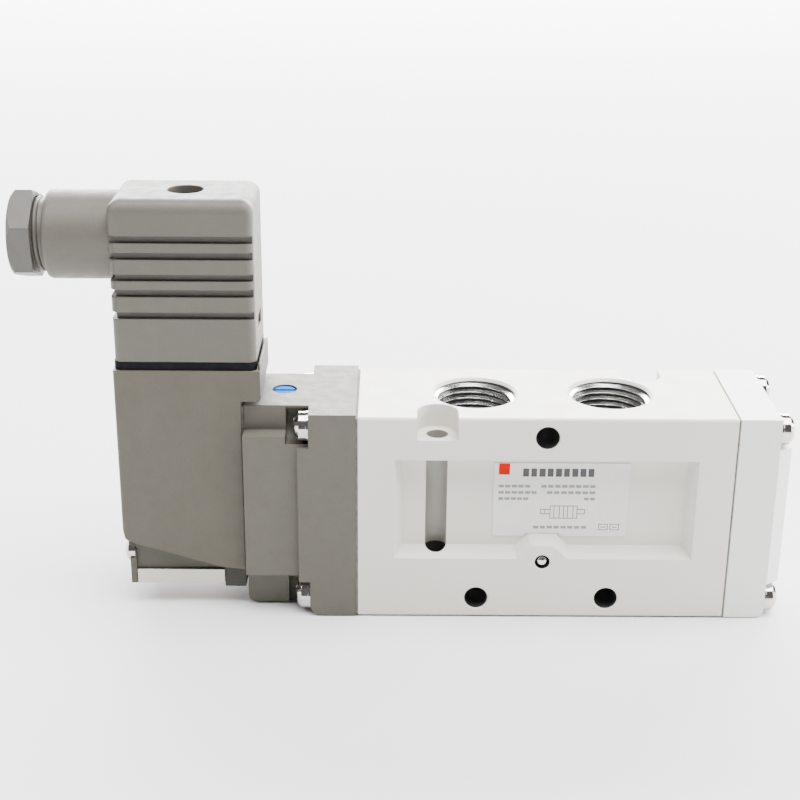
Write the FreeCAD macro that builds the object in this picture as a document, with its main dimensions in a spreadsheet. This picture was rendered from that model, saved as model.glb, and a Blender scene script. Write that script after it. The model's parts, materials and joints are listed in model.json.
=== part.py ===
import FreeCAD, Part
import os
import re
import Sketcher

# Five-port spool valve with a pilot solenoid and a plug-on connector.
# Frame: X along the spool (end cover towards +X), Z up, origin at the centre of the base. Millimetres.

Vector = FreeCAD.Vector
doc = FreeCAD.newDocument("solenoid_valve")
sheet = doc.addObject("Spreadsheet::Sheet", "dims")

SIZES = [
    # valve body
    ("body_half", 38.0), ("body_deep", 14.5), ("body_top", 44.5), ("edge_soft", 0.6),
    ("bore_rad", 6.5), ("bore_high", 22.25), ("gallery_rad", 7.8), ("gallery_half", 3.5),
    ("gallery_near", 13.5), ("gallery_far", 27.0),
    ("port_rad", 8.33), ("port_mouth", 8.87), ("port_depth", 12.0), ("port_bevel", 0.54),
    ("port_top_x", 14.0), ("port_low_x", 27.0), ("passage_rad", 4.0),
    ("side_hole_rad", 2.4), ("side_top_high", 40.3), ("side_low_x", 13.5), ("side_low_high", 4.25),
    ("rim_bevel", 0.25),
    ("bolt_x", 22.0), ("bolt_y", 10.8), ("bolt_rad", 2.2), ("notch_rad", 4.15), ("notch_floor", 39.7),
    ("recess_half", 30.7), ("recess_low", 13.4), ("recess_high", 35.4), ("recess_depth", 3.3),
    ("recess_side_bevel", 1.55), ("recess_low_bevel", 1.7), ("recess_high_bevel", 1.2),
    ("boss_slope", 1.03), ("boss_tip", 2.25), ("boss_high", 16.3), ("boss_flare", 0.6), ("boss_rise", 1.5),
    ("ball_rad", 1.5), ("ball_high", 12.6), ("ball_hole_depth", 3.2),
    ("corner_y", 10.9), ("corner_low", 3.4), ("corner_high", 41.2), ("corner_hole_rad", 2.05),
    ("corner_hole_depth", 10.0),
    ("plate_left", -10.3), ("plate_right", 17.4), ("plate_low", 17.2), ("plate_high", 33.6),
    ("plate_thick", 0.2),
    # spool and piston
    ("shaft_rad", 3.6), ("land_rad", 6.3), ("land_half", 1.7), ("groove_rad", 5.0), ("groove_half", 1.05),
    ("seal_out", 6.47), ("seal_in", 5.03), ("seal_half", 1.0), ("stem_rad", 3.2), ("nose_rad", 2.6),
    ("nose_tip", 36.6), ("shoulder", 33.3),
    ("piston_left", -50.5), ("piston_right", -44.5), ("piston_rad", 9.35), ("piston_groove", 7.6),
    ("piston_wall", 1.8), ("piston_seal_out", 9.47), ("spring_mean", 3.9), ("spring_wire", 0.45),
    # gaskets and end cover
    ("gasket_thick", 0.4), ("gasket_inset", 0.3), ("gasket_hole", 6.6),
    ("cover_face", 46.7), ("cover_crown", 49.6), ("cover_crown_y", 12.3), ("crown_low", 7.7),
    ("crown_high", 37.7), ("cover_round", 1.6), ("cover_well_rad", 5.4), ("cover_well_end", 46.6),
    # corner screws
    ("screw_rad", 2.0), ("screw_tip", 28.4), ("washer_rad", 3.35), ("washer_thick", 0.5),
    ("head_rad", 3.2), ("head_tall", 2.6), ("cross_wide", 0.9), ("cross_long", 3.7), ("cross_deep", 1.5),
    # pilot adapter
    ("plate_end", -47.9), ("plate_mid_end", -50.2), ("adapter_top", 45.0), ("adapter_round", 2.2),
    ("neck_end", -61.2), ("neck_core_y", 9.2), ("neck_mid_y", 13.2), ("neck_mid_low", 8.6),
    ("neck_mid_high", 39.7), ("neck_floor", 0.3), ("neck_round", 1.5), ("chamber_end", -51.0),
    ("chamber_rad", 9.5), ("relief_rad", 3.75), ("relief_end", -52.6), ("pilot_way_high", 14.2),
    ("pilot_way_rad", 1.0),
    ("button_x", -53.4), ("button_rad", 2.45), ("button_bore", 2.55), ("button_top", 44.8),
    ("button_low", 37.6), ("button_well", 33.0), ("button_stem", 0.85), ("button_stem_low", 31.0),
    ("vent_rad", 1.2), ("slot_wide", 0.8), ("slot_deep", 0.9),
    # pilot housing
    ("house_left", -86.85), ("house_right", -61.55), ("house_y", 10.5), ("house_top", 52.6),
    ("hat_right", -57.5), ("hat_low", 46.2), ("house_round", 0.8),
    ("well_left", -84.9), ("well_right", -63.4), ("well_y", 8.9), ("well_top", 50.6),
    ("window_left", -82.0), ("window_right", -62.5), ("window_y", 7.6),
    ("lip_left", -57.85), ("lip_front", -9.55), ("lip_back", 5.7), ("lip_top", 53.8),
    ("base_left", -84.7), ("base_right", -63.45), ("base_y", 8.8), ("base_low", 8.05), ("base_top", 17.0),
    ("foot_left", -66.0), ("foot_right", -61.6), ("foot_y", 9.5), ("foot_low", 4.1), ("foot_top", 8.5),
    ("tab_left", -85.7), ("tab_low", 4.8), ("tab_top", 12.5), ("strip_right", -66.1), ("strip_top", 8.0),
    ("coil_x", -74.0), ("pilot_screw_y", 6.9), ("pilot_screw_high", 11.5), ("pilot_screw_rad", 1.5),
    ("pilot_screw_tip", -53.5), ("pilot_head_rad", 2.5), ("pilot_head_tall", 2.0),
    # solenoid
    ("armature_rad", 3.8), ("armature_low", 13.3), ("armature_top", 32.0), ("tube_in", 3.9),
    ("tube_out", 4.35), ("tube_low", 15.6), ("tube_top", 46.3), ("core_rad", 3.85), ("core_low", 33.0),
    ("core_top", 46.35), ("bobbin_low", 19.25), ("bobbin_top", 44.65), ("bobbin_rim", 8.2),
    ("bobbin_out", 5.4), ("rim_thick", 1.3), ("winding_out", 7.9), ("yoke_left", -84.6),
    ("yoke_right", -65.2), ("yoke_y", 7.5), ("yoke_thick", 1.5), ("seat_rad", 3.0), ("seat_low", 9.0),
    ("seat_top", 12.95),
    # plug-on connector
    ("plug_left", -86.4), ("plug_right", -58.2), ("plug_y", 10.0), ("plug_low", 54.4), ("plug_top", 87.0),
    ("plug_side_round", 1.6), ("plug_top_round", 2.6), ("plug_screw_x", -72.15), ("plug_hole", 3.6),
    ("rib_depth", 1.0), ("rib_end", -58.5), ("hollow_left", -84.2), ("hollow_right", -60.4),
    ("hollow_y", 7.8), ("hollow_top", 84.4), ("boss_rad", 4.6), ("boss_low", 66.2), ("boss_floor", 78.0),
    ("gland_high", 77.8), ("spigot_rad", 8.85), ("spigot_end", -99.5), ("nipple_rad", 7.1),
    ("nipple_end", -104.2), ("cable_way", 5.6), ("insert_low", 54.7), ("insert_top", 65.8),
    ("blade_thick", 0.8), ("blade_wide", 4.8), ("blade_low", 47.5), ("blade_top", 63.0),
    ("blade_left_x", -80.0), ("blade_right_x", -64.3), ("blade_back_y", 5.2),
    ("nut_outer", -106.3), ("nut_inner", -101.7), ("nut_vertex", 9.36), ("nut_turn", 21.0),
    ("nut_bore", 7.55), ("nut_mouth", 5.2), ("grommet_in", 3.3), ("grommet_out", 5.55),
    ("grommet_inner_end", -96.0),
]

for row, (alias, size) in enumerate(SIZES, start=1):
    sheet.set("A%d" % row, alias)
    sheet.set("B%d" % row, repr(size))
    sheet.setAlias("B%d" % row, alias)
doc.recompute()

ALIASES = {alias for alias, size in SIZES}
SEALS = (-36.7, -26.0, -6.0, 1.0, 19.5, 31.6)
RIBS = ((78.6, 80.1), (75.3, 76.8), (71.0, 72.4), (67.75, 69.3), (63.25, 64.7))
nodes = []


def bind(item, prop, text):
    """Drives one property from the sheet."""
    words = re.sub(r"[a-z_]+", lambda w: "dims." + w.group(0) if w.group(0) in ALIASES else w.group(0),
                   str(text))
    item.setExpression(prop, words)


def place(item, x=0, y=0, z=0):
    """Binds where an object stands."""
    for prop, text in (("x", x), ("y", y), ("z", z)):
        bind(item, "Placement.Base." + prop, text)


def minus(high, low):
    return "(%s) - (%s)" % (high, low)


def box(x_low, x_high, y_low, y_high, z_low, z_high):
    item = doc.addObject("Part::Box", "block")
    bind(item, "Length", minus(x_high, x_low))
    bind(item, "Width", minus(y_high, y_low))
    bind(item, "Height", minus(z_high, z_low))
    place(item, x_low, y_low, z_low)
    return item


TURNS = {
    "X": FreeCAD.Rotation(Vector(0, 1, 0), 90),
    "Y": FreeCAD.Rotation(Vector(1, 0, 0), -90),
    "Z": FreeCAD.Rotation(),
}


def start(axis, low, cross):
    """The point where a round shape along an axis begins; cross is its other two coordinates."""
    return {"X": (low, cross[0], cross[1]), "Y": (cross[0], low, cross[1]), "Z": (cross[0], cross[1], low)}[axis]


def rod(axis, radius, low, high, cross):
    item = doc.addObject("Part::Cylinder", "rod")
    item.Placement = FreeCAD.Placement(Vector(), TURNS[axis])
    bind(item, "Radius", radius)
    bind(item, "Height", minus(high, low))
    place(item, *start(axis, low, cross))
    return item


def cone(axis, radius_low, radius_high, low, high, cross):
    item = doc.addObject("Part::Cone", "cone")
    item.Placement = FreeCAD.Placement(Vector(), TURNS[axis])
    bind(item, "Radius1", radius_low)
    bind(item, "Radius2", radius_high)
    bind(item, "Height", minus(high, low))
    place(item, *start(axis, low, cross))
    return item


def fuse(*items):
    item = doc.addObject("Part::MultiFuse", "joined")
    item.Shapes = list(items)
    return item


def cut(base, *tools):
    item = doc.addObject("Part::Cut", "cut")
    item.Base = base
    item.Tool = tools[0] if len(tools) == 1 else fuse(*tools)
    return item


def common(one, two):
    item = doc.addObject("Part::Common", "common")
    item.Base = one
    item.Tool = two
    return item


def group(items):
    """Separate solids that share one node."""
    item = doc.addObject("Part::Compound", "group")
    item.Links = list(items)
    return item


def tube(axis, outer, inner, low, high, cross):
    hole = rod(axis, inner, "(%s) - 1" % low, "(%s) + 1" % high, cross)
    return cut(rod(axis, outer, low, high, cross), hole)


def outline(sketch, points):
    """Closed outline with every corner held by two driven distances from the origin."""
    count = len(points)
    rough = [Vector(20, 0, 0)] * count
    turn = FreeCAD.Rotation(Vector(0, 0, 1), 360.0 / count)
    for i in range(1, count):
        rough[i] = turn.multVec(rough[i - 1])
    sketch.addGeometry([Part.LineSegment(rough[i], rough[(i + 1) % count]) for i in range(count)])
    sketch.addConstraint([Sketcher.Constraint("Coincident", i, 2, (i + 1) % count, 1) for i in range(count)])
    for i, (u, v) in enumerate(points):
        for kind, text, value in (("DistanceX", u, rough[i].x), ("DistanceY", v, rough[i].y)):
            number = sketch.addConstraint(Sketcher.Constraint(kind, -1, 1, i, 1, value))
            bind(sketch, "Constraints[%d]" % number, text)


def sketched(body, plane, points):
    sketch = body.newObject("Sketcher::SketchObject", "outline")
    support = [p for p in body.Origin.OriginFeatures if p.Role == plane][0]
    sketch.AttachmentSupport = (support, [""])
    sketch.MapMode = "FlatFace"
    outline(sketch, points)
    return sketch


def turned(axis, points, x=0, y=0, z=0):
    """A body of revolution; points are (distance along the axis, radius)."""
    body = doc.addObject("PartDesign::Body", "turned")
    flat = points if axis == "X" else [(r, a) for a, r in points]
    sketch = sketched(body, "XZ_Plane", flat)
    spin = body.newObject("PartDesign::Revolution", "spin")
    spin.Profile = sketch
    spin.ReferenceAxis = (sketch, ["H_Axis" if axis == "X" else "V_Axis"])
    spin.Angle = 360
    sketch.Visibility = False
    place(body, x, y, z)
    return body


def padded(plane, points, low, high, rounds=()):
    """A body extruded from low to high; rounds lists (corner numbers, radius) along the extrusion."""
    body = doc.addObject("PartDesign::Body", "padded")
    sketch = sketched(body, plane, points)
    pad = body.newObject("PartDesign::Pad", "pad")
    pad.Profile = sketch
    bind(pad, "Length", minus(high, low))
    pad.Reversed = plane == "XZ_Plane"
    across = {"XZ_Plane": "y", "XY_Plane": "z", "YZ_Plane": "x"}[plane]
    bind(body, "Placement.Base." + across, low)
    doc.recompute()
    last = pad
    for corners, radius in rounds:
        spots = [sketch.Placement.multVec(sketch.Geometry[i].StartPoint) for i in corners]
        last = soften(body, last, radius, lambda e: along(e, across) and passes(e, spots, across))
    return body


def along(edge, letter):
    """Whether an edge is straight and runs along one axis."""
    span = edge.BoundBox
    lengths = {"x": span.XLength, "y": span.YLength, "z": span.ZLength}
    wide = lengths.pop(letter)
    return wide > 0.5 and max(lengths.values()) < 0.001


def passes(edge, spots, letter):
    """Whether an edge that runs along an axis goes through one of the spots."""
    point = edge.CenterOfMass
    for spot in spots:
        gap = point - spot
        setattr(gap, letter, 0.0)
        if gap.Length < 0.001:
            return True
    return False


def soften(body, feature, radius, pick):
    """Rounds the picked edges of a body's last feature."""
    edges = ["Edge%d" % (i + 1) for i, e in enumerate(feature.Shape.Edges) if pick(e)]
    rounded = body.newObject("PartDesign::Fillet", "rounded")
    rounded.Base = (feature, edges)
    bind(rounded, "Radius", radius)
    doc.recompute()
    return rounded


def spring(axis, mean, wire, low, high, turns, cross):
    """A coil spring of round wire."""
    coil = doc.addObject("Part::Helix", "coil")
    coil.Placement = FreeCAD.Placement(Vector(), TURNS[axis])
    bind(coil, "Radius", mean)
    bind(coil, "Height", "(%s) - 2 * (%s)" % (minus(high, low), wire))
    bind(coil, "Pitch", "(%s - 2 * (%s)) / %s" % (minus(high, low), wire, turns))
    place(coil, *start(axis, "(%s) + (%s)" % (low, wire), cross))
    ring = doc.addObject("Part::Circle", "wire")
    flat = FreeCAD.Rotation(Vector(1, 0, 0), 90)
    ring.Placement = FreeCAD.Placement(Vector(), TURNS[axis].multiply(flat))
    bind(ring, "Radius", wire)
    offset = TURNS[axis].multVec(Vector(1, 0, 0))
    origin = start(axis, "(%s) + (%s)" % (low, wire), cross)
    place(ring, *["(%s) + (%s) * (%d)" % (origin[i], mean, round(offset[i])) for i in range(3)])
    sweep = doc.addObject("Part::Sweep", "sweep")
    sweep.Sections = [ring]
    sweep.Spine = (coil, [])
    sweep.Solid = True
    sweep.Frenet = True
    return sweep


def node(item, name):
    """Gives a sub-part its node name."""
    item.Label = name
    nodes.append(item)
    return item


def corners(x_low, x_high, radius):
    """Four rods through the corner screw positions."""
    return [rod("X", radius, x_low, x_high, (side, high))
            for side in ("-corner_y", "corner_y") for high in ("corner_low", "corner_high")]


# ---------------------------------------------------------------- valve body
AXIS = (0, "bore_high")
block = padded("YZ_Plane", [("-body_deep", 0), ("body_deep", 0), ("body_deep", "body_top"),
                            ("-body_deep", "body_top")], "-body_half", "body_half",
               [((0, 1, 2, 3), "edge_soft")])
hollows = [rod("X", "bore_rad", "-body_half - 1", "body_half + 1", AXIS)]
for centre in ("-gallery_far", "-gallery_near", "0", "gallery_near", "gallery_far"):
    hollows.append(rod("X", "gallery_rad", centre + " - gallery_half", centre + " + gallery_half", AXIS))
for side in ("-port_top_x", "port_top_x"):
    floor = "body_top - port_depth"
    hollows.append(rod("Z", "port_rad", floor, "body_top + 1", (side, 0)))
    hollows.append(cone("Z", "port_rad", "port_mouth", "body_top - port_bevel", "body_top", (side, 0)))
    hollows.append(rod("Z", "passage_rad", "bore_high + bore_rad + 0.5", "body_top", (side, 0)))
for side in ("-port_low_x", "0", "port_low_x"):
    hollows.append(rod("Z", "port_rad", "-1", "port_depth", (side, 0)))
    hollows.append(cone("Z", "port_mouth", "port_rad", "0", "port_bevel", (side, 0)))
    hollows.append(rod("Z", "passage_rad", "1", "bore_high - bore_rad - 0.5", (side, 0)))
for side, high in (("0", "side_top_high"), ("-side_low_x", "side_low_high"), ("side_low_x", "side_low_high")):
    hollows.append(rod("Y", "side_hole_rad", "-body_deep - 1", "body_deep + 1", (side, high)))
    hollows.append(cone("Y", "side_hole_rad + rim_bevel", "side_hole_rad", "-body_deep",
                        "-body_deep + rim_bevel", (side, high)))
    hollows.append(cone("Y", "side_hole_rad", "side_hole_rad + rim_bevel", "body_deep - rim_bevel",
                        "body_deep", (side, high)))
for sign in ("-", ""):
    spot = (sign + "bolt_x", sign + "bolt_y")
    hollows.append(rod("Z", "bolt_rad", "-1", "body_top + 1", spot))
    hollows.append(rod("Z", "notch_rad", "notch_floor", "body_top + 1", spot))
low_y = {"-": ("-body_deep - 1", "-bolt_y"), "": ("bolt_y", "body_deep + 1")}
for sign, (y_low, y_high) in low_y.items():
    hollows.append(box(sign + "bolt_x - notch_rad", sign + "bolt_x + notch_rad", y_low, y_high,
                       "notch_floor", "body_top + 1"))


def recess(turn):
    """Bevelled pocket in a long face: wide at the face, smaller at its floor."""
    item = doc.addObject("Part::Wedge", "recess")
    bind(item, "Ymin", 0)
    bind(item, "Ymax", "recess_depth")
    bind(item, "Xmin", "-recess_half")
    bind(item, "Xmax", "recess_half")
    bind(item, "X2min", "-recess_half + recess_side_bevel")
    bind(item, "X2max", "recess_half - recess_side_bevel")
    bind(item, "Zmin", "recess_low")
    bind(item, "Zmax", "recess_high")
    bind(item, "Z2min", "recess_low + recess_low_bevel")
    bind(item, "Z2max", "recess_high - recess_high_bevel")
    item.Placement = FreeCAD.Placement(Vector(), FreeCAD.Rotation(Vector(0, 0, 1), turn))
    place(item, 0, "-body_deep" if turn == 0 else "body_deep", 0)
    return item


def boss_outline(y, tip, low, high):
    """Section of the raised boss that juts into the pocket, with sides at one slope."""
    sketch = doc.addObject("Sketcher::SketchObject", "boss")
    sketch.Placement = FreeCAD.Placement(Vector(), FreeCAD.Rotation(Vector(1, 0, 0), 90))
    foot = "%s + boss_slope * (%s)" % (tip, minus(high, low))
    outline(sketch, [("-(%s)" % foot, low), (foot, low), (tip, high), ("-(%s)" % tip, high)])
    place(sketch, 0, y, 0)
    return sketch


boss = doc.addObject("Part::Loft", "boss_loft")
boss.Sections = [boss_outline("-body_deep", "boss_tip", "recess_low - 1", "boss_high"),
                 boss_outline("-body_deep + recess_depth", "boss_tip + boss_flare", "recess_low - 1",
                              "boss_high + boss_rise")]
boss.Solid = True
boss.Ruled = True
hollows.append(cut(recess(0), boss))
hollows.append(recess(180))
hollows.append(rod("Y", "ball_rad + 0.05", "-body_deep - 1", "-body_deep + ball_hole_depth", (0, "ball_high")))
hollows.append(cone("Y", "ball_rad + 0.05 + rim_bevel", "ball_rad + 0.05", "-body_deep",
                    "-body_deep + rim_bevel", (0, "ball_high")))
hollows += corners("-body_half - 1", "-body_half + corner_hole_depth", "corner_hole_rad")
hollows += corners("body_half - corner_hole_depth", "body_half + 1", "corner_hole_rad")
for hollow in hollows:
    block = cut(block, hollow)
    block.Refine = False
node(block, "valve_body")

node(cut(box("plate_left", "plate_right", "-body_deep + recess_depth - plate_thick",
             "-body_deep + recess_depth", "plate_low", "plate_high"),
         box("-boss_tip - boss_flare - 0.7", "boss_tip + boss_flare + 0.7", "-body_deep", "body_deep",
             "plate_low - 1", "boss_high + boss_rise + 0.05")), "nameplate")

ball = doc.addObject("Part::Sphere", "ball")
bind(ball, "Radius", "ball_rad")
place(ball, 0, "-body_deep + ball_hole_depth - ball_rad", "ball_high")
node(ball, "passage_ball")

# ---------------------------------------------------------------- spool, piston and return spring
steps = [rod("X", "shaft_rad", str(SEALS[0]), str(SEALS[-1]), AXIS),
         rod("X", "stem_rad", "piston_right", str(SEALS[0]), AXIS),
         rod("X", "nose_rad", str(SEALS[-1]), "nose_tip", AXIS)]
for centre in SEALS:
    steps.append(rod("X", "groove_rad", "%s - land_half" % centre, "%s + land_half" % centre, AXIS))
    steps.append(rod("X", "land_rad", "%s - land_half" % centre, "%s - groove_half" % centre, AXIS))
    steps.append(rod("X", "land_rad", "%s + groove_half" % centre, "%s + land_half" % centre, AXIS))
node(fuse(*steps), "spool")
node(group([tube("X", "seal_out", "seal_in", "%s - seal_half" % c, "%s + seal_half" % c, AXIS)
            for c in SEALS]), "spool_seals")
node(turned("X", [("piston_left", 0), ("piston_left", "piston_rad"),
                  ("piston_left + piston_wall", "piston_rad"), ("piston_left + piston_wall", "piston_groove"),
                  ("piston_right - piston_wall", "piston_groove"),
                  ("piston_right - piston_wall", "piston_rad"), ("piston_right", "piston_rad"),
                  ("piston_right", 0)], z="bore_high"), "drive_piston")
node(tube("X", "piston_seal_out", "piston_groove + 0.05", "piston_left + piston_wall + 0.1",
          "piston_right - piston_wall - 0.1", AXIS), "piston_seal")
node(spring("X", "spring_mean", "spring_wire", "shoulder + 0.05", "cover_well_end - 0.05", "5.5", AXIS),
     "return_spring")

# ---------------------------------------------------------------- end cover
plate = padded("XZ_Plane", [("body_half + gasket_thick", 0), ("cover_face", 0), ("cover_face", "body_top"),
                            ("body_half + gasket_thick", "body_top")], "-body_deep", "body_deep",
               [((1,), "cover_round")])
crown = padded("XY_Plane", [("cover_face - 1", "-body_deep"), ("cover_face", "-body_deep"),
                            ("cover_crown", "-cover_crown_y"), ("cover_crown", "cover_crown_y"),
                            ("cover_face", "body_deep"), ("cover_face - 1", "body_deep")],
               "crown_low", "crown_high")
node(cut(fuse(plate, crown), rod("X", "cover_well_rad", "body_half", "cover_well_end", AXIS),
         *corners("body_half", "cover_crown + 1", "screw_rad + 0.15")), "end_cover")


def gasket(x_low, x_high):
    sheet_block = box(x_low, x_high, "-body_deep + gasket_inset", "body_deep - gasket_inset",
                      "gasket_inset", "body_top - gasket_inset")
    return cut(sheet_block, rod("X", "gasket_hole", x_low + " - 1", x_high + " + 1", AXIS),
               *corners(x_low + " - 1", x_high + " + 1", "screw_rad + 0.3"))


node(gasket("body_half", "body_half + gasket_thick"), "end_cover_gasket")
node(gasket("-body_half - gasket_thick", "-body_half"), "adapter_gasket")


def corner_screw(sign, seat, side, high):
    """Pan-head screw with a captive washer and a cross recess; sign is the way its head points."""
    way = [("%s * screw_tip" % sign, 0), ("%s * screw_tip" % sign, "screw_rad"), (seat, "screw_rad"),
           (seat, "washer_rad"), ("%s + %s * washer_thick" % (seat, sign), "washer_rad"),
           ("%s + %s * washer_thick" % (seat, sign), "head_rad"),
           ("%s + %s * (washer_thick + 0.55 * head_tall)" % (seat, sign), "head_rad"),
           ("%s + %s * (washer_thick + 0.85 * head_tall)" % (seat, sign), "0.76 * head_rad"),
           ("%s + %s * (washer_thick + head_tall)" % (seat, sign), "0.4 * head_rad"),
           ("%s + %s * (washer_thick + head_tall)" % (seat, sign), 0)]
    shape = turned("X", way, y=side, z=high)
    tip = "%s + %s * (washer_thick + head_tall)" % (seat, sign)
    ends = (tip + " - cross_deep", tip + " + 1") if sign == "1" else (tip + " - 1", tip + " + cross_deep")
    bars = []
    for wide, tall in (("cross_wide", "cross_long"), ("cross_long", "cross_wide")):
        bars.append(box(ends[0], ends[1], "%s - %s / 2" % (side, wide), "%s + %s / 2" % (side, wide),
                        "%s - %s / 2" % (high, tall), "%s + %s / 2" % (high, tall)))
    return cut(shape, *bars)


SPOTS = [(y, z) for y in ("-corner_y", "corner_y") for z in ("corner_low", "corner_high")]
node(group([corner_screw("1", "cover_face", y, z) for y, z in SPOTS]), "end_cover_screws")
node(group([corner_screw("-1", "plate_end", y, z) for y, z in SPOTS]), "adapter_screws")

# ---------------------------------------------------------------- pilot adapter
plate = padded("XZ_Plane", [("plate_end", 0), ("-body_half - gasket_thick", 0),
                            ("-body_half - gasket_thick", "adapter_top"), ("plate_end", "adapter_top")],
               "-body_deep", "body_deep", [((0,), "adapter_round")])
neck = padded("XZ_Plane", [("neck_end", "neck_floor"), ("plate_end + 1", "neck_floor"),
                           ("plate_end + 1", "adapter_top"), ("neck_end", "adapter_top")],
              "-neck_core_y", "neck_core_y", [((0,), "neck_round")])
adapter = fuse(plate, neck,
               box("plate_mid_end", "plate_end + 1", "-body_deep", "body_deep", "crown_low", "crown_high"),
               box("neck_end", "plate_end + 1", "-neck_mid_y", "neck_mid_y", "neck_mid_low", "neck_mid_high"))
BUTTON = ("button_x", 0)
WAY = (0, "pilot_way_high")
ways = [rod("X", "chamber_rad", "chamber_end", "-body_half", AXIS),
        rod("Z", "button_bore", "button_well", "adapter_top + 1", BUTTON),
        rod("Z", "vent_rad", "pilot_way_high", "button_well + 0.1", BUTTON),
        rod("X", "pilot_way_rad", "neck_end - 1", "chamber_end + 0.1", WAY)]
ways += corners("plate_end - 1", "-body_half", "screw_rad + 0.15")
ways += corners("relief_end", "plate_end", "relief_rad")
for side in ("-pilot_screw_y", "pilot_screw_y"):
    ways.append(rod("X", "pilot_screw_rad + 0.05", "neck_end - 1", "pilot_screw_tip + 0.5",
                    (side, "pilot_screw_high")))
node(cut(adapter, *ways), "pilot_adapter")

plunger = turned("Z", [("button_stem_low", 0), ("button_stem_low", "button_stem"),
                       ("button_low", "button_stem"), ("button_low", "button_rad"),
                       ("button_low + 2.4", "button_rad"), ("button_low + 2.4", "button_rad - 0.6"),
                       ("button_low + 3.6", "button_rad - 0.6"), ("button_low + 3.6", "button_rad"),
                       ("button_top - 0.3", "button_rad"), ("button_top", "button_rad - 0.3"),
                       ("button_top", 0)], x="button_x")
node(cut(plunger, box("button_x - 3", "button_x + 3", "-slot_wide / 2", "slot_wide / 2",
                      "button_top - slot_deep", "button_top + 1")), "override_button")
node(tube("Z", "button_bore - 0.02", "button_rad - 0.55", "button_low + 2.5", "button_low + 3.5", BUTTON),
     "override_oring")
node(spring("Z", "1.6", "0.2", "button_well + 0.02", "button_low - 0.02", "6", BUTTON), "override_spring")

# ---------------------------------------------------------------- pilot housing and its base
shell = padded("XZ_Plane", [("house_left", "house_top"), ("house_left", 17.3),
                            ("house_left + 0.5", 15.6), ("house_left + 1.5", 14.8), (-66.5, 9.07),
                            ("house_right", 8.6), ("house_right", "hat_low"), ("hat_right", "hat_low"),
                            ("hat_right", "house_top")], "-house_y", "house_y", [((7,), "1.0")])
last = soften(shell, shell.Tip, "house_round",
              lambda e: along(e, "z") and e.CenterOfMass.x < -80)
shell.Tip = last
holes = [box("well_left", "well_right", "-well_y", "well_y", "0", "well_top"),
         box("window_left", "window_right", "-window_y", "window_y", "well_top - 1", "house_top + 1"),
         rod("X", "pilot_way_rad", "well_right - 1", "house_right + 1", WAY)]
for side in ("-pilot_screw_y", "pilot_screw_y"):
    holes.append(rod("X", "pilot_screw_rad + 0.15", "well_right - 1", "house_right + 1",
                     (side, "pilot_screw_high")))
lip = box("lip_left", "hat_right", "lip_front", "lip_back", "house_top - 1", "lip_top")
node(cut(fuse(shell, lip), *holes), "pilot_housing")

COIL = ("coil_x", 0)
base = fuse(box("base_left", "base_right", "-base_y", "base_y", "base_low", "base_top"),
            box("foot_left", "foot_right", "-foot_y", "foot_y", "foot_low", "foot_top"),
            box("tab_left", "base_left + 0.3", "-foot_y", "foot_y", "tab_low", "tab_top"))
holes = [rod("Z", "seat_rad + 0.05", "seat_low", "base_top + 1", COIL),
         rod("Z", "4.7", "12.2", "base_top + 1", COIL),
         rod("X", "pilot_way_rad", "coil_x", "base_right + 1", WAY)]
for side in ("-pilot_screw_y", "pilot_screw_y"):
    spot = (side, "pilot_screw_high")
    holes.append(rod("X", "pilot_screw_rad + 0.15", "base_left - 1", "base_right + 1", spot))
    holes.append(rod("X", "pilot_head_rad + 0.2", "tab_left - 1", "base_left", spot))
node(cut(base, *holes), "pilot_base")

node(box("base_left + 0.4", "strip_right", "-foot_y", "foot_y", "tab_low", "strip_top"), "retaining_plate")
node(cut(box("house_right", "neck_end", "-neck_core_y + 0.2", "neck_core_y - 0.2", 9.0, 44.6),
         rod("X", "pilot_way_rad + 0.2", "house_right - 1", "neck_end + 1", WAY),
         *[rod("X", "pilot_screw_rad + 0.2", "house_right - 1", "neck_end + 1", (s, "pilot_screw_high"))
           for s in ("-pilot_screw_y", "pilot_screw_y")]), "pilot_gasket")


def pilot_screw(side):
    shape = turned("X", [("pilot_screw_tip", 0), ("pilot_screw_tip", "pilot_screw_rad"),
                         ("base_left", "pilot_screw_rad"), ("base_left", "pilot_head_rad"),
                         ("base_left - 0.7 * pilot_head_tall", "pilot_head_rad"),
                         ("base_left - pilot_head_tall", "0.7 * pilot_head_rad"),
                         ("base_left - pilot_head_tall", 0)], y=side, z="pilot_screw_high")
    slot = box("base_left - pilot_head_tall - 1", "base_left - 0.5 * pilot_head_tall",
               side + " - 0.35", side + " + 0.35", "pilot_screw_high - 3", "pilot_screw_high + 3")
    return cut(shape, slot)


node(group([pilot_screw("-pilot_screw_y"), pilot_screw("pilot_screw_y")]), "pilot_screws")

# ---------------------------------------------------------------- solenoid
node(turned("Z", [("seat_low + 0.02", 0.5), ("seat_low + 0.02", "seat_rad"), (12.0, "seat_rad"),
                  (12.0, 1.6), ("seat_top", 0.9), ("seat_top", 0.5)], x="coil_x"), "pilot_seat")
node(rod("Z", "2.2", 13.0, 14.35, COIL), "poppet_seal")
node(turned("Z", [("armature_low", 2.25), ("armature_low", "armature_rad"),
                  ("armature_top", "armature_rad"), ("armature_top", 2.0), (27.0, 2.0), (27.0, 0),
                  (14.4, 0), (14.4, 2.25)], x="coil_x"), "armature")
node(spring("Z", "1.4", "0.25", "27.03", "core_low - 0.03", "6", COIL), "armature_spring")
node(turned("Z", [("tube_low", "tube_in"), ("tube_low", 4.65), ("base_top", 4.65), ("base_top", 7.4),
                  ("base_top + 0.7", 7.4), ("base_top + 0.7", "tube_out"), ("tube_top", "tube_out"),
                  ("tube_top", "tube_in")], x="coil_x"), "core_tube")
node(rod("Z", "core_rad", "core_low", "core_top", COIL), "fixed_core")
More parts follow.
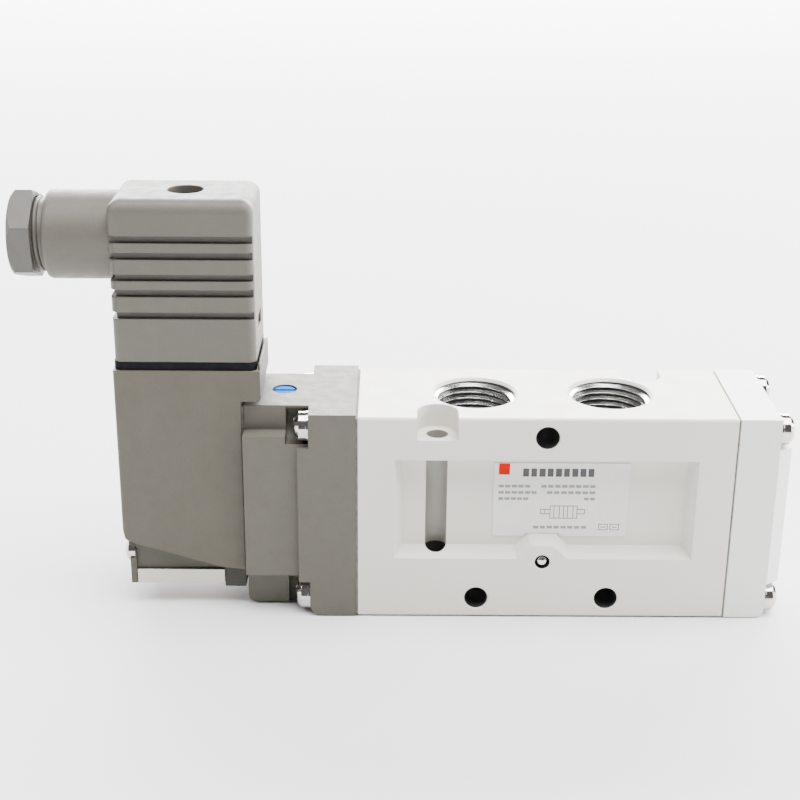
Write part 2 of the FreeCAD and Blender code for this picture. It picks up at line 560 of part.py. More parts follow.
reel = fuse(rod("Z", "bobbin_rim", "bobbin_low", "bobbin_low + rim_thick", COIL),
            rod("Z", "bobbin_rim", "bobbin_top - rim_thick", "bobbin_top", COIL),
            rod("Z", "bobbin_out", "bobbin_low", "bobbin_top", COIL))
node(cut(reel, rod("Z", "tube_out + 0.05", "bobbin_low - 1", "bobbin_top + 1", COIL)), "coil_bobbin")
node(tube("Z", "winding_out", "bobbin_out + 0.03", "bobbin_low + rim_thick + 0.03",
          "bobbin_top - rim_thick - 0.03", COIL), "coil_winding")
frame_low = "base_top + 0.72"
bracket = fuse(box("yoke_left", "yoke_right", "-yoke_y", "yoke_y", frame_low, frame_low + " + yoke_thick"),
               box("yoke_left", "yoke_right", "-yoke_y", "yoke_y", "bobbin_top + 0.05",
                   "bobbin_top + 0.05 + yoke_thick"),
               box("yoke_left", "yoke_left + yoke_thick", "-yoke_y", "yoke_y", frame_low,
                   "bobbin_top + 0.05 + yoke_thick"))
node(cut(bracket, rod("Z", "tube_out + 0.05", "base_top", "core_top + 1", COIL)), "solenoid_yoke")

# ---------------------------------------------------------------- terminals on the pilot
block = fuse(box(-83.5, -62.6 - 1.2, "-8.5", "8.5", "core_top + 0.1", "well_top - 0.05"),
             box("window_left + 0.3", "window_right - 0.9 - 0.6", "-window_y + 0.5", "window_y - 0.5",
                 "well_top - 1", "plug_low - 0.1"))


def blades(grow, low, high):
    """The three flat contact tongues, or slots around them when grown."""
    half_thick = "(blade_thick / 2 + %s)" % grow
    half_wide = "(blade_wide / 2 + %s)" % grow
    out = []
    for x in ("blade_left_x", "blade_right_x"):
        out.append(box("%s - %s" % (x, half_thick), "%s + %s" % (x, half_thick), "-" + half_wide, half_wide,
                       low, high))
    out.append(box("plug_screw_x - " + half_wide, "plug_screw_x + " + half_wide,
                   "blade_back_y - " + half_thick, "blade_back_y + " + half_thick, low, high))
    return out


PLUG = ("plug_screw_x", 0)
node(cut(block, rod("Z", 1.5, 48.5, "plug_low + 1", PLUG), *blades(0.02, "blade_low", "plug_low + 1")),
     "terminal_block")
node(group(blades(0, "blade_low", "blade_top")), "terminal_blades")
seal = padded("XY_Plane", [("plug_left - 0.2", "-plug_y + 0.1"), ("plug_right", "-plug_y + 0.1"),
                           ("plug_right", "plug_y - 0.1"), ("plug_left - 0.2", "plug_y - 0.1")],
              "house_top", "plug_low", [((0, 1, 2, 3), "plug_side_round")])
node(cut(seal, box("window_left + 0.1", "window_right - 1.2", "-window_y + 0.3", "window_y - 0.3",
                   "house_top - 1", "plug_low + 1")), "connector_gasket")

# ---------------------------------------------------------------- plug-on connector
shell = padded("XY_Plane", [("plug_left", "-plug_y"), ("plug_right", "-plug_y"), ("plug_right", "plug_y"),
                            ("plug_left", "plug_y")], "plug_low", "plug_top",
               [((0, 1, 2, 3), "plug_side_round")])
high = shell.Tip.Shape.BoundBox.ZMax
soften(shell, shell.Tip, "plug_top_round", lambda e: min(v.Z for v in e.Vertexes) > high - 0.001)
GLAND = (0, "gland_high")
spigot = turned("X", [("spigot_end", 0), ("spigot_end", "spigot_rad - 0.8"),
                      ("spigot_end + 0.25", "spigot_rad - 0.25"), ("spigot_end + 0.8", "spigot_rad"),
                      ("plug_left + 1.5", "spigot_rad"), ("plug_left + 1.5", 0)], z="gland_high")
nipple = rod("X", "nipple_rad", "nipple_end", "plug_left + 1.5", GLAND)
inner = box("plug_left + rib_depth", "plug_right + 5", "-plug_y + rib_depth", "plug_y - rib_depth",
            "plug_low", "plug_top")
bands = [cut(box("plug_left - 1", "rib_end", "-plug_y - 1", "plug_y + 1", low, high), inner)
         for low, high in RIBS]
shell = fuse(cut(shell, *bands), spigot, nipple)
hollow = cut(box("hollow_left", "hollow_right", "-hollow_y", "hollow_y", "plug_low - 1", "hollow_top"),
             rod("Z", "boss_rad", "boss_low", "plug_top", PLUG))
node(cut(shell, hollow, rod("Z", 1.7, "boss_low - 1", "plug_top", PLUG),
         rod("Z", "plug_hole", "boss_floor", "plug_top + 1", PLUG),
         rod("X", "cable_way", "nipple_end - 1", "hollow_left + 0.1", GLAND),
         box("plug_right - 0.8", "plug_right + 1", -3, 3, 58.8, 61.8)), "connector_housing")

body = box("hollow_left + 0.2", "hollow_right - 0.2", "-hollow_y + 0.2", "hollow_y - 0.2",
           "insert_low", "insert_top")
node(cut(body, rod("Z", 1.7, "insert_low - 1", "insert_top + 1", PLUG),
         *blades(0.95, "insert_low + 1", "insert_top + 1"), *blades(0.2, "insert_low - 1", "insert_top")),
     "connector_insert")


outer = blades(0.9, "insert_low + 1.1", "insert_top - 0.8")
inner = blades(0.05, "insert_low - 1", "blade_top + 0.3")
node(group([cut(o, i) for o, i in zip(outer, inner)]), "contact_clips")


def terminal_screw(x, y):
    shape = turned("Z", [("insert_top - 0.75", 0), ("insert_top - 0.75", 0.7), ("insert_top + 0.1", 0.7),
                         ("insert_top + 0.1", 1.0), ("insert_top + 1.3", 1.0), ("insert_top + 1.3", 0)],
                   x=x, y=y)
    return cut(shape, box(x + " - 2", x + " + 2", y + " - 0.2", y + " + 0.2", "insert_top + 0.8",
                          "insert_top + 2"))


node(group([terminal_screw("blade_left_x", "0"), terminal_screw("blade_right_x", "0"),
            terminal_screw("plug_screw_x", "blade_back_y + 0.5")]), "terminal_screws")

shape = turned("Z", [(50.0, 0), (50.0, 1.45), ("boss_floor + 1", 1.45), ("boss_floor + 1", 2.9),
                     ("boss_floor + 2.9", 2.9), ("boss_floor + 3.5", 2.3), ("boss_floor + 3.5", 0)],
               x="plug_screw_x")
node(cut(shape, box("plug_screw_x - 4", "plug_screw_x + 4", -0.4, 0.4, "boss_floor + 2.2",
                    "boss_floor + 5")), "connector_screw")
node(tube("Z", 3.3, 1.6, "boss_floor + 0.02", "boss_floor + 0.98", PLUG), "connector_screw_seal")

# ---------------------------------------------------------------- cable gland
hexagon = doc.addObject("Part::Prism", "hexagon")
hexagon.Polygon = 6
bind(hexagon, "Circumradius", "nut_vertex")
bind(hexagon, "Height", minus("nut_inner", "nut_outer"))
spoke = FreeCAD.Rotation(Vector(1, 0, 0), -sheet.nut_turn).multVec(Vector(0, -1, 0))
hexagon.Placement = FreeCAD.Placement(Vector(), FreeCAD.Rotation(spoke, Vector(), Vector(1, 0, 0), "ZXY"))
place(hexagon, "nut_outer", 0, "gland_high")
round_off = turned("X", [("nut_outer", 0), ("nut_outer", "nut_vertex - 1.2"),
                         ("nut_outer + 1.1", "nut_vertex + 0.1"), ("nut_inner - 0.4", "nut_vertex + 0.1"),
                         ("nut_inner", "nut_vertex - 0.4"), ("nut_inner", 0)], z="gland_high")
node(cut(common(hexagon, round_off), rod("X", "nut_mouth", "nut_outer - 1", "nut_inner", GLAND),
         rod("X", "nut_bore", "nipple_end - 0.45", "nut_inner + 1", GLAND)), "gland_nut")
node(tube("X", "nut_bore - 0.15", "nut_mouth", "nipple_end - 0.43", "nipple_end - 0.03", GLAND),
     "gland_washer")
node(tube("X", "grommet_out", "grommet_in", "nipple_end + 0.05", "grommet_inner_end", GLAND),
     "gland_grommet")

doc.recompute()
faults = ["%s %s" % (item.Name, item.Label) for item in doc.Objects
          if "Invalid" in item.State or "Error" in item.State]
for item in nodes:
    if item.Shape.isNull() or not item.Shape.isValid():
        faults.append("shape of " + item.Label)
if faults:
    raise RuntimeError("not built: " + ", ".join(faults))
os.makedirs("parts", exist_ok=True)
for item in nodes:
    item.Shape.exportStep("parts/" + item.Label + ".step")
print(len(nodes), "nodes written")
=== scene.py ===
import json
import math

import bmesh
import bpy
from mathutils import Matrix, Vector


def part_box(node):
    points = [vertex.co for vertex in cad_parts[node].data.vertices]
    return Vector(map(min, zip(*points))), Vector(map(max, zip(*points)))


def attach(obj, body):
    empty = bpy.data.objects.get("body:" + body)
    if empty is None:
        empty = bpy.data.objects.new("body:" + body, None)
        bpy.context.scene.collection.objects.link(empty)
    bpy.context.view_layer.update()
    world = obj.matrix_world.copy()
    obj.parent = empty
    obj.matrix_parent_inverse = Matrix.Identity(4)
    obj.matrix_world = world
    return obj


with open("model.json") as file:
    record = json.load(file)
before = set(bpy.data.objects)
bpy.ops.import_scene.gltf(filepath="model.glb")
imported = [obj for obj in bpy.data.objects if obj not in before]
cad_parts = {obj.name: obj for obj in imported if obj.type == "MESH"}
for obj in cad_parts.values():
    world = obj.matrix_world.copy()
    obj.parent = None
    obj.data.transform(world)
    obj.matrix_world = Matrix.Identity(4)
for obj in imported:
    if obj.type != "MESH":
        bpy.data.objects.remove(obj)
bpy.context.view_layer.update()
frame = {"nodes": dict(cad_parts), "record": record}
nodes = frame["nodes"]
MM = 0.001

# places on the solids that the looks follow, in millimetres
BORE_SLACK = 0.03                 # how far the painted shade in a bore reaches past its wall
SIDE_HOLE = 2.4                   # cross holes: radius, heights and spacing
SIDE_TOP, SIDE_LOW_X, SIDE_LOW = 40.3, 13.5, 4.25
SIDE_BEVEL = 14.2                 # depth at which their rim bevel ends
BALL_ROOM, BALL_HIGH = 1.6, 12.6
PORT_X, PORT_R = 14.0, 8.33
PORT_LOW_X = 27.0
PORT_DEEP, PORT_RIM = 24.0, 43.9
BOLT_X, BOLT_Y, BOLT_R = 22.0, 10.8, 2.22
BOLT_TOP, BOLT_SHAFT = 39.6, 14.6  # top of the open channel, and of the closed shaft under it
RIB_FLOOR = (8.8, 9.25)           # where the floors of the connector's ribs lie, which get painted shade
RIB_FLOOR_END = (-85.6, -85.2)
RIB_SPAN_X, RIB_SPAN_Z = (-86.1, -58.5), (63.0, 80.4)
GLAND_Z = 77.8


# ---------------------------------------------------------------- materials
def shader(name, colour, rough, metal=0.0, specular=0.5):
    """A new material with its constants on the shader's own sockets."""
    mat = bpy.data.materials.new(name)
    mat.use_nodes = True
    tree = mat.node_tree
    base = tree.nodes["Principled BSDF"]
    base.inputs["Base Color"].default_value = (*colour, 1.0)
    base.inputs["Roughness"].default_value = rough
    base.inputs["Metallic"].default_value = metal
    base.inputs["Specular IOR Level"].default_value = specular
    return mat, tree, base


def noise(tree, scale, detail=3.0, rough=0.55, stretch=None):
    """A noise in the object's own space; stretch squeezes it along the axes."""
    place = tree.nodes.new("ShaderNodeTexCoord")
    out = place.outputs["Object"]
    if stretch:
        mapping = tree.nodes.new("ShaderNodeMapping")
        mapping.inputs["Scale"].default_value = stretch
        tree.links.new(out, mapping.inputs["Vector"])
        out = mapping.outputs["Vector"]
    tex = tree.nodes.new("ShaderNodeTexNoise")
    tex.inputs["Scale"].default_value = scale
    tex.inputs["Detail"].default_value = detail
    tex.inputs["Roughness"].default_value = rough
    tree.links.new(out, tex.inputs["Vector"])
    return tex.outputs["Fac"]


def ramp(tree, factor, stops):
    """Colours by position along a factor."""
    node = tree.nodes.new("ShaderNodeValToRGB")
    band = node.color_ramp
    while len(band.elements) < len(stops):
        band.elements.new(0.5)
    for element, (place, colour) in zip(band.elements, stops):
        element.position = place
        element.color = (*colour, 1.0)
    tree.links.new(factor, node.inputs["Fac"])
    return node.outputs["Color"]


def spread(tree, factor, low, high):
    """Maps a factor to a narrow range of values."""
    node = tree.nodes.new("ShaderNodeMapRange")
    node.inputs["From Min"].default_value = 0.3
    node.inputs["From Max"].default_value = 0.7
    node.inputs["To Min"].default_value = low
    node.inputs["To Max"].default_value = high
    tree.links.new(factor, node.inputs["Value"])
    return node.outputs["Result"]


def relief(tree, base, height, strength, distance, under=None):
    """Bump on the shader's normal; a second bump can lie under it."""
    bump = tree.nodes.new("ShaderNodeBump")
    bump.inputs["Strength"].default_value = strength
    bump.inputs["Distance"].default_value = distance
    tree.links.new(height, bump.inputs["Height"])
    if under is not None:
        tree.links.new(under, bump.inputs["Normal"])
    tree.links.new(bump.outputs["Normal"], base.inputs["Normal"])
    return bump.outputs["Normal"]


def shade(colour, by):
    """A colour made lighter or darker."""
    return tuple(max(0.0, min(1.0, c * by)) for c in colour)


def soft_edge(tree, radius):
    """The small round that every moulded or cast edge has."""
    node = tree.nodes.new("ShaderNodeBevel")
    node.samples = 6
    node.inputs["Radius"].default_value = radius
    return node.outputs["Normal"]


def calc(tree, kind, *values):
    """One arithmetic step; each value is a number or another step's output."""
    node = tree.nodes.new("ShaderNodeMath")
    node.operation = kind
    for socket, value in zip(node.inputs, values):
        if isinstance(value, (int, float)):
            socket.default_value = value
        else:
            tree.links.new(value, socket)
    return node.outputs["Value"]


def spot_axes(tree):
    """The object's own X, Y and Z in metres."""
    place = tree.nodes.new("ShaderNodeTexCoord")
    parts = tree.nodes.new("ShaderNodeSeparateXYZ")
    tree.links.new(place.outputs["Object"], parts.inputs["Vector"])
    return parts.outputs["X"], parts.outputs["Y"], parts.outputs["Z"]


def between(tree, value, low, high):
    """1 where a value lies between two limits in millimetres."""
    above = calc(tree, "GREATER_THAN", value, low * MM)
    return calc(tree, "MULTIPLY", above, calc(tree, "LESS_THAN", value, high * MM))


def inside_round(tree, u, v, cu, cv, radius):
    """1 within a radius of an axis; everything in millimetres."""
    du = calc(tree, "SUBTRACT", u, cu * MM)
    dv = calc(tree, "SUBTRACT", v, cv * MM)
    square = calc(tree, "ADD", calc(tree, "MULTIPLY", du, du), calc(tree, "MULTIPLY", dv, dv))
    return calc(tree, "LESS_THAN", square, (radius * MM) ** 2)


def paint_shade(tree, base, factor, tint):
    """Painted shade: multiplies the shader's colour by a dark tint where the factor is 1."""
    source = base.inputs["Base Color"].links[0].from_socket
    mix = tree.nodes.new("ShaderNodeMix")
    mix.data_type = "RGBA"
    mix.blend_type = "MULTIPLY"
    mix.inputs["B"].default_value = (*tint, 1.0)
    tree.links.new(factor, mix.inputs["Factor"])
    tree.links.new(source, mix.inputs["A"])
    tree.links.new(mix.outputs["Result"], base.inputs["Base Color"])


def painted(name, colour, rough=0.42, bore_shade=False):
    """Satin paint on a die casting: slow colour drift, fine orange peel and a few pores; with bore_shade,
    painted shade darkens the inside of every bore, channel and cross hole.
    """
    mat, tree, base = shader(name, colour, rough)
    drift = ramp(tree, noise(tree, 45, 4), [(0.3, shade(colour, 0.965)), (0.7, shade(colour, 1.02))])
    tree.links.new(drift, base.inputs["Base Color"])
    if bore_shade:
        # painted shade: the cross holes, the room round the ball and the port bores are painted near black,
        # and the bolt channels grey and darker still in the closed shaft, where shade falls inside them
        x, y, z = spot_axes(tree)
        side = calc(tree, "ABSOLUTE", x)
        deep = between(tree, calc(tree, "ABSOLUTE", y), -1, SIDE_BEVEL)
        cross = calc(tree, "MAXIMUM",
                     inside_round(tree, side, z, SIDE_LOW_X, SIDE_LOW, SIDE_HOLE + BORE_SLACK),
                     inside_round(tree, side, z, 0, SIDE_TOP, SIDE_HOLE + BORE_SLACK))
        ball = calc(tree, "MULTIPLY", inside_round(tree, side, z, 0, BALL_HIGH, BALL_ROOM),
                    between(tree, y, -15, 0))
        cross = calc(tree, "MULTIPLY", calc(tree, "MAXIMUM", cross, ball), deep)
        paint_shade(tree, base, cross, (0.03, 0.03, 0.033))
        port_shade = calc(tree, "MULTIPLY", inside_round(tree, side, y, PORT_X, 0, PORT_R + BORE_SLACK),
                    between(tree, z, PORT_DEEP, PORT_RIM))
        paint_shade(tree, base, port_shade, (0.05, 0.05, 0.055))
        bolt_shade = calc(tree, "MAXIMUM", inside_round(tree, x, y, -BOLT_X, -BOLT_Y, BOLT_R),
                     inside_round(tree, x, y, BOLT_X, BOLT_Y, BOLT_R))
        for top, tint in ((BOLT_TOP, (0.42, 0.42, 0.41)), (BOLT_SHAFT, (0.12, 0.12, 0.12))):
            paint_shade(tree, base, calc(tree, "MULTIPLY", bolt_shade, between(tree, z, 0, top)), tint)
    gloss = spread(tree, noise(tree, 220, 3), rough - 0.05, rough + 0.07)
    if bore_shade:
        gloss = calc(tree, "ADD", gloss, calc(tree, "MULTIPLY", cross, 0.5))
    tree.links.new(gloss, base.inputs["Roughness"])
    peel = relief(tree, base, noise(tree, 900, 2), 0.10, 0.00012, soft_edge(tree, 0.00035))
    relief(tree, base, noise(tree, 3200, 2), 0.10, 0.00005, peel)
    return mat


def moulded(name, colour, rough=0.55, drift=0.05, grain=0.22, edge=0.0003, ribs=False, specular=0.4):
    """Glass-filled plastic: fine grain, faint flow marks and small specks; with ribs, painted shade darkens
    the floors between the ribs.
    """
    mat, tree, base = shader(name, colour, rough, specular=specular)
    flow = noise(tree, 70, 5, 0.6, (1.0, 1.0, 0.45))
    body = ramp(tree, flow, [(0.3, shade(colour, 1.0 - drift)), (0.72, shade(colour, 1.0 + drift))])
    specks = noise(tree, 2600, 2)
    mix = tree.nodes.new("ShaderNodeMix")
    mix.data_type = "RGBA"
    mix.blend_type = "MULTIPLY"
    mix.inputs["Factor"].default_value = 0.35
    tree.links.new(body, mix.inputs["A"])
    tree.links.new(ramp(tree, specks, [(0.32, (0.82, 0.82, 0.81)), (0.5, (1.0, 1.0, 1.0))]), mix.inputs["B"])
    tree.links.new(mix.outputs["Result"], base.inputs["Base Color"])
    tree.links.new(spread(tree, noise(tree, 400, 3), rough - 0.07, rough + 0.08), base.inputs["Roughness"])
    relief(tree, base, noise(tree, 2400, 3), grain, 0.00008, soft_edge(tree, edge))
    if ribs:
        # painted shade on the rib floors of the front and of the end face, where the grooves lie in shade
        x, y, z = spot_axes(tree)
        front = calc(tree, "MULTIPLY", between(tree, calc(tree, "ABSOLUTE", y), *RIB_FLOOR),
                     between(tree, x, *RIB_SPAN_X))
        rib_floor_shade = calc(tree, "MAXIMUM", front, between(tree, x, *RIB_FLOOR_END))
        paint_shade(tree, base, calc(tree, "MULTIPLY", rib_floor_shade, between(tree, z, *RIB_SPAN_Z)), (0.74, 0.75, 0.77))
    return mat


def metal(name, colour, rough, brush=(1.0, 1.0, 1.0), depth=0.12, edge=0.00015):
    """Bare or plated metal with fine tool marks along one way."""
    mat, tree, base = shader(name, colour, rough, metal=1.0)
    marks = noise(tree, 700, 4, 0.6, brush)
    tree.links.new(ramp(tree, marks, [(0.3, shade(colour, 0.86)), (0.7, shade(colour, 1.05))]),
                   base.inputs["Base Color"])
    tree.links.new(spread(tree, marks, rough * 0.75, rough * 1.3), base.inputs["Roughness"])
    relief(tree, base, marks, depth, 0.00004, soft_edge(tree, edge))
    return mat


def rubber(name, colour, rough=0.6, specular=0.35):
    """Dull rubber with a faint cloudiness."""
    mat, tree, base = shader(name, colour, rough, specular=specular)
    cloud = noise(tree, 500, 4)
    tree.links.new(ramp(tree, cloud, [(0.3, shade(colour, 0.7)), (0.7, shade(colour, 1.5))]),
                   base.inputs["Base Color"])
    relief(tree, base, noise(tree, 1800, 3), 0.25, 0.00006)
    return mat


BODY = (0.655, 0.63, 0.57)
COVER = (0.72, 0.715, 0.70)
TAUPE = (0.089, 0.082, 0.065)
TAUPE_HOUSING = (0.074, 0.066, 0.048)
GREY_PLUG = (0.090, 0.083, 0.069)
GREY_NUT = (0.086, 0.082, 0.073)

looks = {
    "body_paint": painted("body_paint", BODY, bore_shade=True),
    "cover_paint": painted("cover_paint", COVER, 0.4),
    "label": moulded("label_foil", (0.70, 0.69, 0.66), 0.35, 0.01, 0.03, 0.00005),
    "ball_steel": metal("ball_steel", (0.66, 0.66, 0.66), 0.12, depth=0.02),
    "spool_alu": metal("spool_alu", (0.72, 0.72, 0.74), 0.28, (8.0, 1.0, 1.0)),
    "seal_rubber": rubber("seal_rubber", (0.02, 0.02, 0.021), 0.45),
    "gasket_rubber": rubber("gasket_rubber", (0.17, 0.16, 0.145)),
    "black_gasket": rubber("black_gasket", (0.006, 0.006, 0.008), 0.7, 0.08),
    "piston_plastic": moulded("piston_plastic", (0.75, 0.74, 0.68), 0.4),
    "spring_steel": metal("spring_steel", (0.6, 0.6, 0.61), 0.22),
    "screw_chrome": metal("screw_chrome", (0.56, 0.525, 0.51), 0.10, depth=0.06),
    "taupe_plastic": moulded("taupe_plastic", TAUPE),
    "housing_plastic": moulded("housing_plastic", TAUPE_HOUSING, 0.52, 0.09, 0.3),
    "base_plastic": moulded("base_plastic", shade(TAUPE, 0.75), 0.6),
    "button_blue": moulded("button_blue", (0.025, 0.15, 0.48), 0.85, 0.04, 0.05, 0.0001, specular=0.0),
    "strip_steel": metal("strip_steel", (0.50, 0.465, 0.43), 0.36, (1.0, 6.0, 12.0), 0.25),
    "seat_brass": metal("seat_brass", (0.78, 0.6, 0.27), 0.25),
    "armature_steel": metal("armature_steel", (0.58, 0.58, 0.6), 0.3, (1.0, 1.0, 8.0)),
    "tube_brass": metal("tube_brass", (0.62, 0.62, 0.64), 0.2, (1.0, 1.0, 8.0)),
    "bobbin_plastic": moulded("bobbin_plastic", (0.7, 0.67, 0.58), 0.4),
    "winding_copper": metal("winding_copper", (0.72, 0.3, 0.14), 0.3, (1.0, 1.0, 12.0), 0.4),
    "black_plastic": moulded("black_plastic", (0.022, 0.022, 0.024), 0.45),
    "blade_tin": metal("blade_tin", (0.75, 0.74, 0.72), 0.25, (1.0, 1.0, 6.0)),
    "connector_plastic": moulded("connector_plastic", GREY_PLUG, 0.5, 0.05, 0.26, 0.00045, ribs=True),
    "nut_plastic": moulded("nut_plastic", GREY_NUT, 0.45, 0.06, 0.26),
    "washer_plastic": moulded("washer_plastic", (0.74, 0.74, 0.72), 0.35),
}

# painted shade: the foot at the inner end of the pilot's base lies in shade underneath, so it is painted
# darker than the rest of it
tree = looks["base_plastic"].node_tree
x, _, z = spot_axes(tree)
foot = calc(tree, "MULTIPLY", between(tree, x, -66.3, -61), between(tree, z, 0, 8.6))
paint_shade(tree, tree.nodes["Principled BSDF"], foot, (0.42, 0.39, 0.37))

for part in frame["record"]["subparts"]:
    mesh = nodes[part["node"]].data
    mesh.materials.clear()
    mesh.materials.append(looks[part["material_slot"]])

ink = moulded("label_ink", (0.045, 0.045, 0.05), 0.4, 0.05, 0.02, 0.00002)
pale_ink = moulded("label_ink_pale", (0.22, 0.22, 0.22), 0.4, 0.05, 0.02, 0.00002)
orange = moulded("label_orange", (0.60, 0.003, 0.0), 0.75, 0.03, 0.02, 0.00002, specular=0.05)
cut_thread = metal("cut_thread", (0.74, 0.74, 0.73), 0.2, (1.0, 1.0, 14.0), 0.15)


# ---------------------------------------------------------------- pieces
def add(name, verts, faces, material, body, smooth=False):
    """One mesh piece that rides on a CAD body."""
    mesh = bpy.data.meshes.new(name)
    mesh.from_pydata([tuple(v) for v in verts], [], faces)
    mesh.materials.append(material)
    work = bmesh.new()
    work.from_mesh(mesh)
    bmesh.ops.recalc_face_normals(work, faces=work.faces)
    for face in work.faces:
        face.smooth = smooth
    work.to_mesh(mesh)
    work.free()
    piece = bpy.data.objects.new(name, mesh)
    bpy.context.scene.collection.objects.link(piece)
    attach(piece, body)
    return piece


def thread(name, foot, crest, pitch, turns, flank, flat, steps, place, material, body):
    """A closed helical ridge about Z from z = 0 up; foot and crest are its radii, and its ends taper in."""
    verts, faces = [], []
    total = int(turns * steps)
    for i in range(total + 1):
        angle = 2 * math.pi * i / steps
        rise = pitch * i / steps
        near = min(1.0, i / (steps * 0.5), (total - i) / (steps * 0.5))
        top = foot + (crest - foot) * near
        for radius, high in ((foot, -flank), (top, -flat), (top, flat), (foot, flank)):
            spot = Vector((radius * math.cos(angle), radius * math.sin(angle), rise + high))
            verts.append(place @ spot)
    for i in range(total):
        a, b = 4 * i, 4 * i + 4
        for k in range(4):
            faces.append((a + k, a + (k + 1) % 4, b + (k + 1) % 4, b + k))
    faces.append((0, 1, 2, 3))
    faces.append(tuple(4 * total + k for k in (3, 2, 1, 0)))
    return add(name, verts, faces, material, body)


PORT_PITCH, PORT_TURNS = 1.337, 7.9
NIPPLE_PITCH, NIPPLE_TURNS = 1.411, 2.9
THREAD_STEPS = 72
TOP_START, LOW_START = 33.3, 11.2
for label, x, way in (("a", -PORT_X, 1), ("b", PORT_X, 1), ("p", 0, -1), ("ea", -PORT_LOW_X, -1),
                      ("eb", PORT_LOW_X, -1)):
    place = Matrix.Translation((x * MM, 0, (TOP_START if way > 0 else LOW_START) * MM))
    if way < 0:
        place = place @ Matrix.Rotation(math.pi, 4, "X")
    thread("thread_" + label, (PORT_R + 0.04) * MM, (PORT_R - 0.86) * MM, PORT_PITCH * MM, PORT_TURNS,
           0.52 * MM, 0.10 * MM, THREAD_STEPS, place, cut_thread, "valve")

place = Matrix.Translation((-99.9 * MM, 0, GLAND_Z * MM)) @ Matrix.Rotation(-math.pi / 2, 4, "Y")
thread("thread_nipple", 7.08 * MM, 7.5 * MM, NIPPLE_PITCH * MM, NIPPLE_TURNS, 0.6 * MM, 0.13 * MM,
       THREAD_STEPS, place, looks["connector_plastic"], "connector")


def ink_boxes(name, boxes, material, depth=0.00003):
    """Thin printed patches on the label; each box is (left, right, low, high) in millimetres."""
    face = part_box("nameplate")[0].y
    verts, faces = [], []
    for left, right, low, high in boxes:
        start = len(verts)
        for y in (face - depth, face + 0.00002):
            for x, z in ((left, low), (right, low), (right, high), (left, high)):
                verts.append((x * MM, y, z * MM))
        for quad in ((0, 1, 2, 3), (7, 6, 5, 4), (0, 4, 5, 1), (1, 5, 6, 2), (2, 6, 7, 3), (3, 7, 4, 0)):
            faces.append(tuple(start + k for k in quad))
    return add(name, verts, faces, material, "valve")


def bars(left, right, low, high, count, gap):
    """A row of plain bars of uneven length that stands in for a line of print."""
    step = (right - left) / count
    shift = (0.0, 0.12, -0.08, 0.05, -0.12, 0.1, -0.03)
    return [(left + i * step, left + (i + 1) * step - gap * (1 + shift[i % len(shift)]), low, high)
            for i in range(count)]


def rectangle(left, right, low, high, line):
    """Four thin patches around a box."""
    return [(left, right, low, low + line), (left, right, high - line, high),
            (left, left + line, low + line, high - line), (right - line, right, low + line, high - line)]


ink_boxes("label_patch", [(-9.35, -7.1, 31.0, 33.5)], orange)
ink_boxes("label_title", bars(-4.4, 10.6, 30.6, 32.4, 9, 0.45), ink)
rows = bars(-9.3, -2.6, 28.15, 28.75, 5, 0.25) + bars(-0.6, 10.8, 28.15, 28.75, 8, 0.3)
rows += bars(-9.3, -1.2, 26.75, 27.35, 6, 0.25) + bars(0.6, 10.8, 26.75, 27.35, 7, 0.3)
rows += bars(-9.3, -2.9, 25.35, 25.95, 5, 0.25) + bars(8.3, 10.8, 25.35, 25.95, 2, 0.3)
rows += bars(-1.9, 9.4, 18.9, 19.5, 8, 0.35)
ink_boxes("label_rows", rows, pale_ink)
symbol = rectangle(1.4, 4.3, 21.2, 24.1, 0.13) + rectangle(4.17, 7.07, 21.2, 24.1, 0.13)
symbol += [(left, left + 0.13, 21.4, 23.9) for left in (2.2, 3.3, 5.0, 6.1)]
symbol += [(-0.6, 1.4, 22.2, 22.33), (-0.6, 1.4, 23.2, 23.33), (-0.6, -0.47, 22.2, 23.33),
           (0.3, 0.43, 22.2, 23.33), (7.07, 8.6, 22.2, 22.33), (7.07, 8.6, 23.2, 23.33),
           (8.47, 8.6, 22.2, 23.33)]
symbol += rectangle(11.6, 13.5, 18.6, 20.0, 0.12) + rectangle(13.9, 15.8, 18.6, 20.0, 0.12)
symbol += [(12.1, 13.0, 19.2, 19.35), (14.4, 15.3, 19.2, 19.35)]
ink_boxes("label_symbol", symbol, ink)

# ---------------------------------------------------------------- floor, light and camera
FLOOR_HALF, FLOOR_Z = 12, -0.0002
mesh = bpy.data.meshes.new("floor")
mesh.from_pydata([(x * FLOOR_HALF, y * FLOOR_HALF, FLOOR_Z) for x, y in ((-1, -1), (1, -1), (1, 1), (-1, 1))],
                 [], [(0, 1, 2, 3)])
mesh.materials.append(shader("floor", (0.70, 0.70, 0.70), 0.7, specular=0.1)[0])
floor = bpy.data.objects.new("floor", mesh)
bpy.context.scene.collection.objects.link(floor)

world = bpy.data.worlds.new("studio")
world.use_nodes = True
background = world.node_tree.nodes["Background"]
background.inputs["Color"].default_value = (1.0, 1.0, 1.0, 1.0)
background.inputs["Strength"].default_value = 0.2
bpy.context.scene.world = world


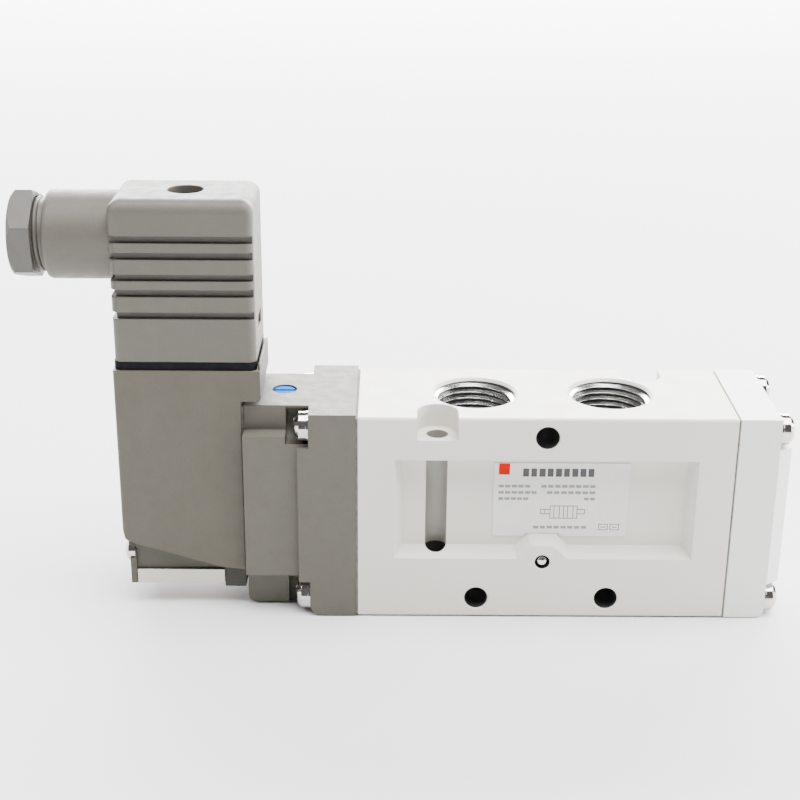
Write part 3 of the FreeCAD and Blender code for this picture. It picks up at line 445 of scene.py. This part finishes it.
def aim(lamp, place, spot):
    """Puts a lamp in the scene, pointed at a spot."""
    lamp.location = place
    lamp.rotation_euler = (Vector(spot) - Vector(place)).to_track_quat("-Z", "Y").to_euler()
    bpy.context.scene.collection.objects.link(lamp)


def sky(name, place, strength, spread_deg):
    """A wide soft light from far away."""
    data = bpy.data.lights.new(name, "SUN")
    data.energy = strength
    data.angle = math.radians(spread_deg)
    aim(bpy.data.objects.new(name, data), place, (0, 0, 0))


def softbox(name, place, spot, size, power):
    """A rectangular area light pointed at a spot."""
    data = bpy.data.lights.new(name, "AREA")
    data.shape = "RECTANGLE"
    data.size, data.size_y = size
    data.energy = power
    aim(bpy.data.objects.new(name, data), place, spot)


sky("overhead", (0.22, -0.12, 1.0), 9.5, 50)
softbox("right_box", (0.55, 0.05, 0.22), (0.0, 0.0, 0.04), (0.35, 0.35), 8.0)
softbox("left_box", (-0.42, -0.16, 0.50), (-0.1, 0.0, 0.08), (0.2, 0.2), 2.0)
softbox("back_box", (0.0, 1.3, 0.55), (-0.03, 0.0, 0.05), (2.2, 0.9), 160.0)


# the camera looks along the label side's normal from above; its turns are in degrees
YAW, PITCH_DOWN, ROLL = math.radians(0.436), math.radians(21.39), math.radians(0.511)
EYE = Vector((-31.76, -295.82, 158.59)) * MM
ahead = Vector((math.sin(YAW) * math.cos(PITCH_DOWN), math.cos(YAW) * math.cos(PITCH_DOWN),
                -math.sin(PITCH_DOWN)))
right = Vector((math.cos(YAW), -math.sin(YAW), 0.0))
up = right.cross(ahead)
tilt_right = right * math.cos(ROLL) + up * math.sin(ROLL)
tilt_up = up * math.cos(ROLL) - right * math.sin(ROLL)
lens = bpy.data.cameras.new("camera")
lens.sensor_width = 36.0
lens.lens = 68.85
lens.clip_start, lens.clip_end = 0.01, 20.0
camera = bpy.data.objects.new("camera", lens)
turn = Matrix((tilt_right, tilt_up, -ahead)).transposed()
camera.matrix_world = Matrix.Translation(EYE) @ turn.to_4x4()
bpy.context.scene.collection.objects.link(camera)
bpy.context.scene.camera = camera
